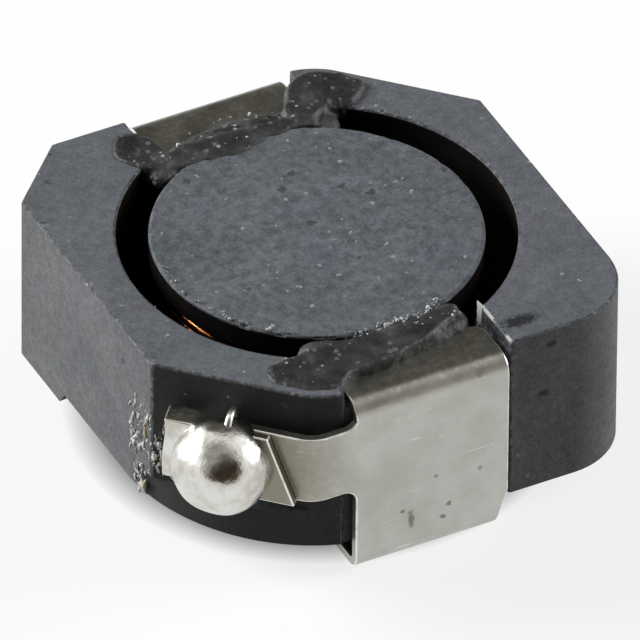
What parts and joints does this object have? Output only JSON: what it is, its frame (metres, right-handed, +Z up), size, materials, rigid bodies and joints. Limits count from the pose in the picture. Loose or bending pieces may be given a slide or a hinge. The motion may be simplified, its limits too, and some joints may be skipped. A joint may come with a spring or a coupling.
{
  "type": "shielded smd inductor",
  "caption": "Square ferrite-shielded surface-mount power inductor: a wound drum core in a ferrite ring, with folded clip terminals whose side arms hold the soldered wire ends.",
  "frame": {"origin": "on the board plane, under the axis of the ring's bore", "axes": "+Z up out of the board, -Y towards the front terminal, X across the terminals"},
  "size_m": [0.0106, 0.0106, 0.0047],
  "materials": {
    "ring_ferrite": "matt sintered ferrite, dark blue-grey",
    "drum_ferrite": "matt sintered ferrite, dark blue-grey",
    "enamelled_copper": "copper wire under clear brown enamel",
    "tinned_sheet": "satin tin plate on thin sheet",
    "solder": "bright solder",
    "adhesive": "dark cured epoxy"
  },
  "bodies": {
    "root": {"shield_core": "ring_ferrite", "drum_core": "drum_ferrite", "winding": "enamelled_copper", "front_terminal": "tinned_sheet", "rear_terminal": "tinned_sheet", "front_solder": "solder", "rear_solder": "solder", "front_adhesive": "adhesive", "rear_adhesive": "adhesive"}
  },
  "joints": []
}
